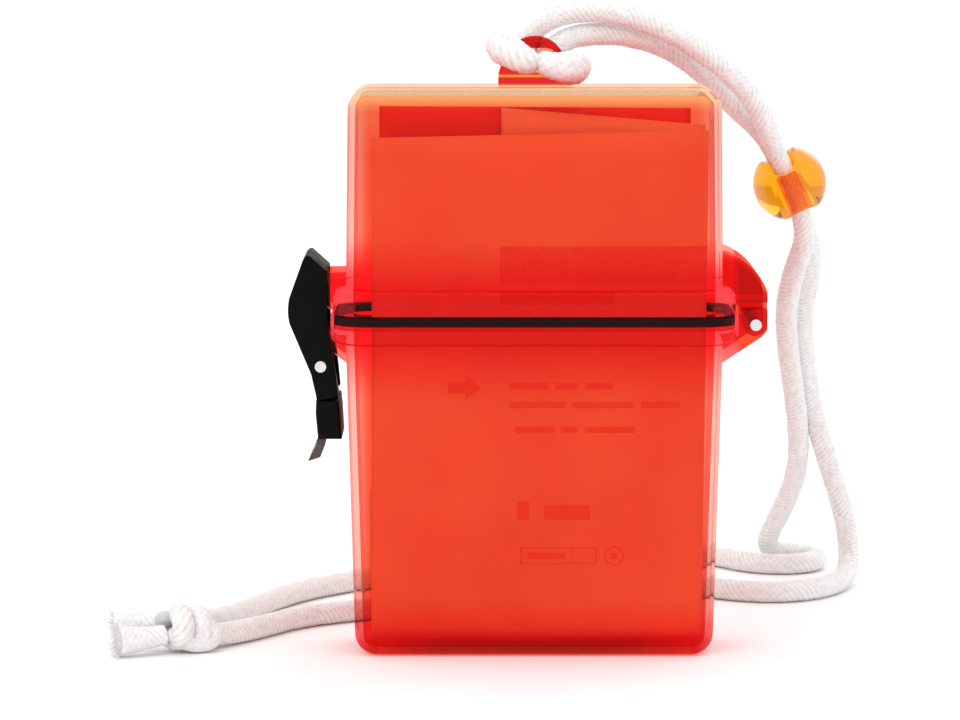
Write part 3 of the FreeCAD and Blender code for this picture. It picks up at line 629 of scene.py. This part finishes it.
# %% [markdown]
# ### Printed paper
#
# The packet at the front carries a title band, short lines of small print, an arrow, a boxed mark and
# a round one. Here they are plain bars and outlines, with nothing to read. Each mark is a rectangle
# on the packet's own X and Z, and the biggest value of all the marks is the ink.

# %% Ink marks
def bar(tree, axes, left, right, low, high):
    across = within(tree, axes["X"], (left + right) / 2, (right - left) / 2)
    upward = within(tree, axes["Z"], (low + high) / 2, (high - low) / 2)
    return combine(tree, "MULTIPLY", across, upward)


def frame_mark(tree, axes, left, right, low, high, line):
    outer = bar(tree, axes, left, right, low, high)
    inner = bar(tree, axes, left + line, right - line, low + line, high - line)
    return combine(tree, "SUBTRACT", outer, inner)


def ring_mark(tree, axes, x, z, radius, line):
    from_x = combine(tree, "SUBTRACT", axes["X"], x)
    from_z = combine(tree, "SUBTRACT", axes["Z"], z)
    squares = combine(tree, "ADD", combine(tree, "MULTIPLY", from_x, from_x),
                      combine(tree, "MULTIPLY", from_z, from_z))
    return within(tree, combine(tree, "SQRT", squares, 0), radius, line / 2)


def paper_finish(name, pale, shaded, ink, marks, roughness=(0.62, 0.85), crease=0.5, fibre_scale=1400):
    finish, tree, shader = new_finish(name, IOR=1.45)
    coordinates = add(tree, "ShaderNodeTexCoord")
    split = add(tree, "ShaderNodeSeparateXYZ")
    tree.links.new(coordinates.outputs["Object"], split.inputs[0])
    ground = blend_colours(tree, spread(tree, grain(tree, 45, 3.0), 0, 1), shaded, pale)
    if marks:
        inked = None
        for mark in marks(tree, split.outputs):
            inked = mark if inked is None else combine(tree, "MAXIMUM", inked, mark)
        worn = combine(tree, "MULTIPLY", inked, spread(tree, grain(tree, 900, 2.0), 0.7, 1.0))
        mix = add(tree, "ShaderNodeMix", data_type="RGBA")
        mix.inputs[7].default_value = (*ink, 1)
        tree.links.new(ground, mix.inputs[6])
        tree.links.new(worn, mix.inputs[0])
        ground = mix.outputs[2]
    tree.links.new(ground, shader.inputs["Base Color"])
    tree.links.new(spread(tree, grain(tree, 600, 2.0), *roughness), shader.inputs["Roughness"])
    height = combine(tree, "ADD", combine(tree, "MULTIPLY", grain(tree, 90, 2.0), 2.0),
                     combine(tree, "MULTIPLY", grain(tree, fibre_scale, 3.0), 0.35))
    bump(tree, shader, height, crease, 0.0004)
    return finish


def compress_marks(tree, axes):
    marks = [bar(tree, axes, -0.0073, 0.0366, 0.0795, 0.0873),
             bar(tree, axes, -0.0073, 0.0169, 0.0749, 0.0777)]
    small_print = ((-0.0052, 0.0577, (7, 4, 5)), (-0.0052, 0.0537, (10, 11, 7)), (-0.0041, 0.0484, (7, 3, 9)))
    letter_width = 0.00118
    for left, z, words in small_print:
        for word in words:
            marks.append(bar(tree, axes, left, left + word * letter_width, z - 0.0007, z + 0.0007))
            left += (word + 1.2) * letter_width
    marks.append(bar(tree, axes, -0.0037, -0.0011, 0.0292, 0.0332))
    marks.append(bar(tree, axes, 0.002, 0.0118, 0.0292, 0.0323))
    marks.append(frame_mark(tree, axes, -0.003, 0.0133, 0.0197, 0.0233, 0.0003))
    marks.append(bar(tree, axes, 0.0079, 0.0082, 0.0197, 0.0233))
    marks.append(bar(tree, axes, -0.0014, 0.0066, 0.0208, 0.0222))
    marks.append(ring_mark(tree, axes, 0.0169, 0.0214, 0.0019, 0.00035))
    marks.append(bar(tree, axes, 0.0162, 0.0176, 0.0207, 0.0221))
    marks.append(bar(tree, axes, -0.0183, -0.0146, 0.0561, 0.0586))
    for step in range(5):
        reach = 0.0026 - step * 0.00052
        left = -0.0146 + step * 0.0006
        marks.append(bar(tree, axes, left, left + 0.0006, 0.05735 - reach, 0.05735 + reach))
    return marks


compress_paper = paper_finish("compress_paper", (0.9, 0.82, 0.74), (0.84, 0.74, 0.66),
                              (0.82, 0.33, 0.34), compress_marks)
plain_paper = paper_finish("plain_paper", (0.92, 0.86, 0.78), (0.85, 0.78, 0.7), (0, 0, 0), None)
print("front packet's nodes:", len(compress_paper.node_tree.nodes))


# %% Other wrappers
def bandage_marks(tree, axes):
    return [bar(tree, axes, -0.028, 0.02, 0.09, 0.094), bar(tree, axes, -0.028, 0.006, 0.083, 0.086)]


def leaflet_marks(tree, axes):
    return [bar(tree, axes, -0.026, 0.026 - 0.004 * (row % 3), 0.0305 - row * 0.002, 0.0315 - row * 0.002)
            for row in range(7)]


def sachet_marks(tree, axes):
    return [bar(tree, axes, -0.018, 0.012, 0.0258, 0.0286),
            frame_mark(tree, axes, -0.029, 0.023, 0.0165, 0.0322, 0.0004)]


bandage_wrap = paper_finish("bandage_wrap", (0.84, 0.1, 0.13), (0.72, 0.075, 0.1), (0.85, 0.83, 0.8),
                            bandage_marks, roughness=(0.35, 0.6))
leaflet_paper = paper_finish("leaflet_paper", (0.9, 0.89, 0.87), (0.84, 0.83, 0.8), (0.42, 0.42, 0.44),
                             leaflet_marks, crease=0.15)
foil_wrap = paper_finish("foil_wrap", (0.88, 0.9, 0.92), (0.76, 0.79, 0.82), (0.12, 0.3, 0.42), sachet_marks,
                         roughness=(0.25, 0.45), crease=0.9)
plaster_wrap = paper_finish("plaster_wrap", (0.92, 0.88, 0.8), (0.84, 0.78, 0.68), (0, 0, 0), None,
                            crease=0.35)
gauze_weave = paper_finish("gauze_weave", (0.93, 0.92, 0.88), (0.82, 0.8, 0.74), (0, 0, 0), None,
                           roughness=(0.85, 0.97), crease=0.8, fibre_scale=2600)
print("wrappers ready")

# %% [markdown]
# ## Finishes on the CAD parts
#
# The shells, the pins and the bead already have their real shape, so each keeps its mesh and takes
# its finish. The latch pieces and the seal also get a small round on their edges, because moulded
# plastic has no sharp edge and the light shows it. A CAD node's mesh is never changed, so a merged
# copy is bevelled and stands for it. The seal's copy is also made lower, because only a thin line of
# the real one shows between the flanges.

# %% Finish a CAD node
def give_finish(node, finish):
    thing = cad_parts[node]
    for slot in thing.material_slots:
        slot.material = finish
    return len(thing.data.polygons)


for node, finish in (
    ("lower_shell", red_clear), ("lid_shell", red_clear),
    ("hinge_pin", turned_steel), ("latch_pivot_pin", turned_steel), ("hook_pin", turned_steel),
    ("cord_bead", amber_clear),
):
    print(node, give_finish(node, finish), "faces")


# %% Rounded copies of the latch pieces
def settle(piece, finish, body, *nodes):
    bpy.ops.object.select_all(action="DESELECT")
    piece.select_set(True)
    bpy.context.view_layer.objects.active = piece
    bpy.ops.object.transform_apply(location=True, rotation=True, scale=True)
    piece.data.materials.clear()
    piece.data.materials.append(finish)
    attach(piece, body)
    if nodes:
        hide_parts(*nodes)
    return piece


def round_the_tip(piece, reach=0.001, radius=0.00055):
    top = max(vertex.co.z for vertex in piece.data.vertices)
    for edge in piece.data.edges:
        a, b = (piece.data.vertices[index].co for index in edge.vertices)
        edge.select = min(a.z, b.z) > top - reach and abs(a.y - b.y) > 0.95 * piece.dimensions.y
    bpy.ops.object.mode_set(mode="EDIT")
    bpy.ops.mesh.bevel(offset=radius, segments=5, affect="EDGES")
    bpy.ops.object.mode_set(mode="OBJECT")


def rounded_copy(node, name, finish, body, radius, tip=False):
    bpy.ops.object.select_all(action="DESELECT")
    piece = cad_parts[node].copy()
    piece.data = piece.data.copy()
    piece.name = name
    piece.parent = None
    bpy.context.collection.objects.link(piece)
    piece.select_set(True)
    bpy.context.view_layer.objects.active = piece
    bpy.ops.object.mode_set(mode="EDIT")
    bpy.ops.mesh.select_all(action="SELECT")
    bpy.ops.mesh.remove_doubles(threshold=0.000004)
    bpy.ops.mesh.dissolve_limited(angle_limit=math.radians(1.5))
    bpy.ops.mesh.select_mode(type="EDGE")
    bpy.ops.mesh.select_all(action="DESELECT")
    bpy.ops.object.mode_set(mode="OBJECT")
    if tip:
        round_the_tip(piece)
    rounding = piece.modifiers.new("rounding", "BEVEL")
    rounding.width = radius
    rounding.segments = 3
    rounding.limit_method = "ANGLE"
    rounding.angle_limit = math.radians(35)
    rounding.harden_normals = False
    bpy.ops.object.modifier_apply(modifier="rounding")
    bpy.ops.object.shade_smooth_by_angle(angle=math.radians(40))
    settle(piece, finish, body, node)
    return piece


hook = rounded_copy("latch_hook", "latch_hook_soft", black_grain, "latch_hook", 0.0005,
                    tip=True)
lever = rounded_copy("latch_lever", "latch_lever_soft", black_grain, "latch_lever", 0.0003)
finger = rounded_copy("finger_tab", "finger_tab_soft", smoke_clear, "latch_lever", 0.0001)
seal = rounded_copy("seal_ring", "seal_soft", black_rubber, "case", 0.00015)
seal_top = max(vertex.co.z for vertex in seal.data.vertices)
seal_share_seen = 0.72
for vertex in seal.data.vertices:
    vertex.co.z = seal_top - (seal_top - vertex.co.z) * seal_share_seen
print("latch faces:", len(hook.data.polygons), len(lever.data.polygons), len(finger.data.polygons))

# %% [markdown]
# ## Paper packets
#
# A sterile packet is two sheets sealed round the edge, so it is thin at its rim and fuller in the
# middle, with creases that run in from the corners. Each starts as a cube of the packet's size, is
# subdivided in edit mode, and then every point moves: its height in the outline sets X, its distance
# from the rim sets the thickness, and smooth noise adds creases.

# %% A packet from its outline
def rim_profile(u, v, softness):
    across = 1 - abs(u) ** softness
    upward = 1 - abs(v) ** softness
    return max(0.0, across * upward) ** 0.5


def paper_packet(name, node, finish, body, left, right, puff, softness=5, cuts=5, crease=0.0002,
                 seal=0.3):
    low, high = (Vector(corner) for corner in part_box(node))
    middle = (low + high) / 2
    bpy.ops.object.select_all(action="DESELECT")
    bpy.ops.mesh.primitive_cube_add(size=2, location=middle)
    packet = bpy.context.object
    packet.name = name
    bpy.ops.object.mode_set(mode="EDIT")
    bpy.ops.mesh.select_all(action="SELECT")
    for _ in range(cuts):
        bpy.ops.mesh.subdivide(number_cuts=1)
    bpy.ops.object.mode_set(mode="OBJECT")
    half = (high.y - low.y) / 2
    for vertex in packet.data.vertices:
        u, w, v = vertex.co
        bottom_x = left[0] + (right[0] - left[0]) * (u + 1) / 2
        top_x = left[1] + (right[1] - left[1]) * (u + 1) / 2
        slope = left[2] + (right[2] - left[2]) * (u + 1) / 2
        height = low.z + (v + 1) / 2 * (slope - low.z)
        x = bottom_x + (top_x - bottom_x) * (v + 1) / 2
        thick = half * (seal + (1 - seal) * puff * rim_profile(u, v, softness))
        wave = noise.noise(Vector((x * 60, 3.1 * half * 1000, height * 60))) * crease * 2
        fold = abs(noise.noise(Vector((x * 130, 7.7, height * 130)))) * crease
        rest = min(1.0, rim_profile(u, v, softness) * 1.5)
        y = middle.y + w * thick + (wave + fold * w) * rest
        vertex.co = Vector((x, y, height)) - middle
    for face in packet.data.polygons:
        face.use_smooth = True
    settle(packet, finish, body, node)
    return packet


compress = paper_packet("compress_sachet", "compress_packet", compress_paper, "case",
                        (-0.0346, -0.0342, 0.11), (0.0356, 0.0366, 0.1116), puff=0.95, cuts=6)
dressing = paper_packet("dressing_sachet", "dressing_packet", plain_paper, "case",
                        (-0.007, -0.007, 0.1162), (0.0358, 0.036, 0.1126), puff=0.9)
bandage = paper_packet("bandage_sachet", "bandage_packet", bandage_wrap, "case",
                       (-0.0326, -0.0328, 0.1164), (0.0332, 0.033, 0.116), puff=0.9)
print("packets:", [round(value, 4) for value in compress.dimensions], len(compress.data.polygons))

# %% [markdown]
# ## Plasters, wipes and the leaflet
#
# Four wrapped plasters and two foil sachets stand behind the packets. Each kind is modelled once and
# copied with its own mesh. The leaflet is one strip of paper folded to and fro: an edge is extruded
# back and forth, and Solidify gives the paper its thickness.

# %% Plasters and wipes
def small_sachets(prefix, nodes, finish, puff, crease):
    first_low, first_high = (Vector(corner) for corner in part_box(nodes[0]))
    first = paper_packet(f"{prefix}_1", nodes[0], finish, "case",
                         (first_low.x, first_low.x, first_high.z), (first_high.x, first_high.x, first_high.z),
                         puff=puff, softness=8, cuts=4, crease=crease, seal=0.25)
    made = [first]
    for number, node in enumerate(nodes[1:], start=2):
        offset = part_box(node)[0][1] - first_low.y
        copy = bpy.data.objects.new(f"{prefix}_{number}", first.data.copy())
        bpy.context.collection.objects.link(copy)
        copy.data.transform(Matrix.Translation((0, offset, 0)))
        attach(copy, "case")
        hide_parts(node)
        made.append(copy)
    return made


plasters = small_sachets("plaster", [f"plaster_strip_{n}" for n in range(1, 5)], plaster_wrap,
                         0.9, 0.00003)
wipes = small_sachets("wipe", [f"wipe_sachet_{n}" for n in range(1, 3)], foil_wrap,
                      0.95, 0.00008)
print("plasters and wipes:", len(plasters), len(wipes))

# %% Folded leaflet
low, high = (Vector(corner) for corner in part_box("leaflet"))
layers = 5
gap = (high.y - low.y - 0.0002) / (layers - 1)
bpy.ops.object.select_all(action="DESELECT")
bpy.ops.mesh.primitive_plane_add(size=1)
leaflet_sheet = bpy.context.object
leaflet_sheet.name = "leaflet_sheet"
corners = [(low.x, low.z), (high.x, low.z), (low.x, high.z), (high.x, high.z)]
for vertex, (x, z) in zip(leaflet_sheet.data.vertices, corners):
    vertex.co = (x, low.y + 0.0001, z)
side = high.x
for _ in range(layers - 1):
    bpy.ops.object.mode_set(mode="EDIT")
    bpy.ops.mesh.select_mode(type="EDGE")
    bpy.ops.mesh.select_all(action="DESELECT")
    bpy.ops.object.mode_set(mode="OBJECT")
    back = max(vertex.co.y for vertex in leaflet_sheet.data.vertices)
    for edge in leaflet_sheet.data.edges:
        ends = [leaflet_sheet.data.vertices[index].co for index in edge.vertices]
        edge.select = all(abs(end.x - side) < 1e-6 and abs(end.y - back) < 1e-6 for end in ends)
    bpy.ops.object.mode_set(mode="EDIT")
    bpy.ops.mesh.extrude_region_move(TRANSFORM_OT_translate={"value": (0, gap, 0)})
    step = low.x - high.x if side == high.x else high.x - low.x
    bpy.ops.mesh.extrude_region_move(TRANSFORM_OT_translate={"value": (step, 0, 0)})
    bpy.ops.object.mode_set(mode="OBJECT")
    side += step
sheet_thickness = leaflet_sheet.modifiers.new("paper", "SOLIDIFY")
sheet_thickness.thickness = 0.00011
sheet_thickness.offset = 0
fold_rounding = leaflet_sheet.modifiers.new("fold", "BEVEL")
fold_rounding.width = 0.00004
fold_rounding.segments = 2
for modifier in ("paper", "fold"):
    bpy.ops.object.modifier_apply(modifier=modifier)
settle(leaflet_sheet, leaflet_paper, "case", "leaflet")
print("leaflet:", len(leaflet_sheet.data.polygons), "faces")

# %% [markdown]
# ## Bandage roll
#
# The rolled gauze lies on the floor of the case. A cylinder's ends are inset again and again, in and
# out by turns, which gives the edges of the wound layers.

# %% Rolled gauze
low, high = (Vector(corner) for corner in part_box("bandage_roll"))
middle = (low + high) / 2
roll_radius = (high.z - low.z) / 2 - 0.0001
bpy.ops.object.select_all(action="DESELECT")
bpy.ops.mesh.primitive_cylinder_add(vertices=96, radius=roll_radius, depth=high.x - low.x - 0.001,
                                    location=middle, rotation=(0, math.radians(90), 0))
roll = bpy.context.object
roll.name = "gauze_roll"
bpy.ops.object.mode_set(mode="EDIT")
bpy.ops.mesh.select_mode(type="FACE")
work = bmesh.from_edit_mesh(roll.data)
for face in work.faces:
    face.select = len(face.verts) > 4
bmesh.update_edit_mesh(roll.data)
for layer in range(14):
    bpy.ops.mesh.inset(thickness=0.00036, depth=-0.00016 if layer % 2 == 0 else 0.00014, use_individual=True)
bpy.ops.mesh.inset(thickness=0.0002, depth=-0.0012, use_individual=True)
bpy.ops.object.mode_set(mode="OBJECT")
bpy.ops.object.shade_smooth_by_angle(angle=math.radians(40))
settle(roll, gauze_weave, "case", "bandage_roll")
print("gauze roll:", len(roll.data.polygons), "faces")

# %% [markdown]
# ## The lanyard's pieces
#
# The lanyard's pieces are held just above the floor, take the braid finish and stand for the CAD
# cord nodes, which are hidden. The hitch stays with the lid.

# %% Cord pieces
floor_gap = 0.00005
lid_cord_pieces = (("cord_front", lanyard_front), ("cord_back", lanyard_back), ("cord_knot", knot),
                   ("cord_knot", knot_fold), ("cord_tail_upper", tail_upper), ("cord_tail_lower", tail_lower))
for node, piece in lid_cord_pieces:
    for vertex in piece.data.vertices:
        vertex.co.z = max(vertex.co.z, floor_gap)
    piece.data.materials.append(white_braid)
    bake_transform(piece)
    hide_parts(node)
hitch.data.materials.append(white_braid)
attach(hitch, "lid")
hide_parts("cord_hitch")

# %% [markdown]
# ## Floor and light
#
# The picture is high key: a pale floor, a white surround and light from all sides, so that the clear
# plastic glows. A large soft lamp from the front left adds the long highlights, one from above fills
# the shade, and one from behind lights the walls. A studio is dark behind the camera, so what is
# mirrored is dimmer than what is seen: the surround is turned down for glossy rays.

# %% Floor
bpy.ops.object.select_all(action="DESELECT")
bpy.ops.mesh.primitive_plane_add(size=6)
floor = bpy.context.object
floor.name = "floor"
pale_floor, tree, shader = new_finish("pale_floor", Specular_IOR_Level=0.0)
tree.links.new(blend_colours(tree, grain(tree, 3), (0.93, 0.93, 0.93), (0.96, 0.96, 0.96)),
               shader.inputs["Base Color"])
tree.links.new(spread(tree, grain(tree, 30), 0.7, 0.8), shader.inputs["Roughness"])
floor.data.materials.append(pale_floor)
print("floor ready")


# %% Lights
def soft_lamp(name, place, size, power, aim=(0, 0, 0.06)):
    lamp = bpy.data.lights.new(name, "AREA")
    lamp.shape = "RECTANGLE"
    lamp.size, lamp.size_y = size
    lamp.energy = power
    holder = bpy.data.objects.new(name, lamp)
    holder.location = place
    holder.rotation_euler = (Vector(aim) - Vector(place)).to_track_quat("-Z", "Y").to_euler()
    bpy.context.collection.objects.link(holder)
    return holder


world = bpy.data.worlds.new("surround")
world.use_nodes = True
background = world.node_tree.nodes["Background"]
background.inputs["Color"].default_value = (1, 1, 1, 1)
rays = world.node_tree.nodes.new("ShaderNodeLightPath")
dimmer = world.node_tree.nodes.new("ShaderNodeMapRange")
dimmer.inputs["To Min"].default_value = 1.08
dimmer.inputs["To Max"].default_value = 0.8
world.node_tree.links.new(rays.outputs["Is Glossy Ray"], dimmer.inputs["Value"])
world.node_tree.links.new(dimmer.outputs["Result"], background.inputs["Strength"])
bpy.context.scene.world = world
soft_lamp("key", (-0.9, -1.1, 1.0), (0.7, 0.7), 3)
soft_lamp("top", (0.1, 0.1, 1.3), (0.9, 0.9), 2.5)
soft_lamp("behind", (0.5, 1.1, 0.7), (0.8, 0.6), 1.5)
